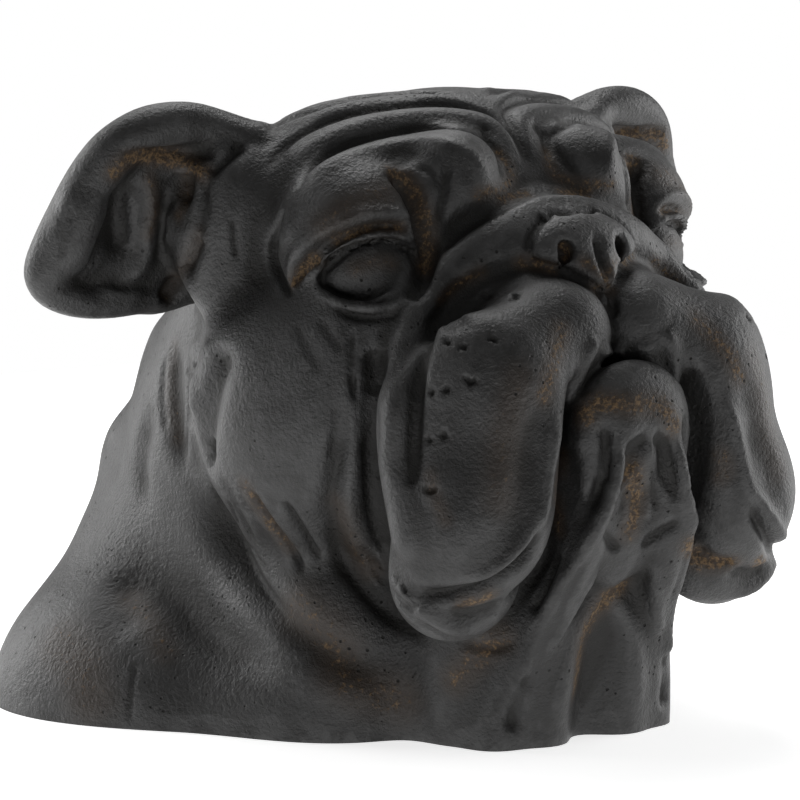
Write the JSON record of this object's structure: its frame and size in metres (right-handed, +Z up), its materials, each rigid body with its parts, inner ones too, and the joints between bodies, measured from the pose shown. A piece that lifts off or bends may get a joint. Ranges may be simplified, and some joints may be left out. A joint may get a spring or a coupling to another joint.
{
  "type": "bulldog garden statue",
  "caption": "Bulldog garden statue: a bust of the head, neck and shoulders with folded cheeks, hanging flews and small ears, cast in one dark piece and cut flat below.",
  "frame": {"origin": "middle of the bounding box's bottom, on the flat cut that the bust stands on", "axes": "+Z up, -Y the way the dog faces, +X the dog's left"},
  "size_m": [0.343, 0.3354, 0.2612],
  "materials": {
    "cast_stone": "satin"
  },
  "bodies": {
    "root": {"bulldog_bust": "cast_stone"}
  },
  "joints": []
}
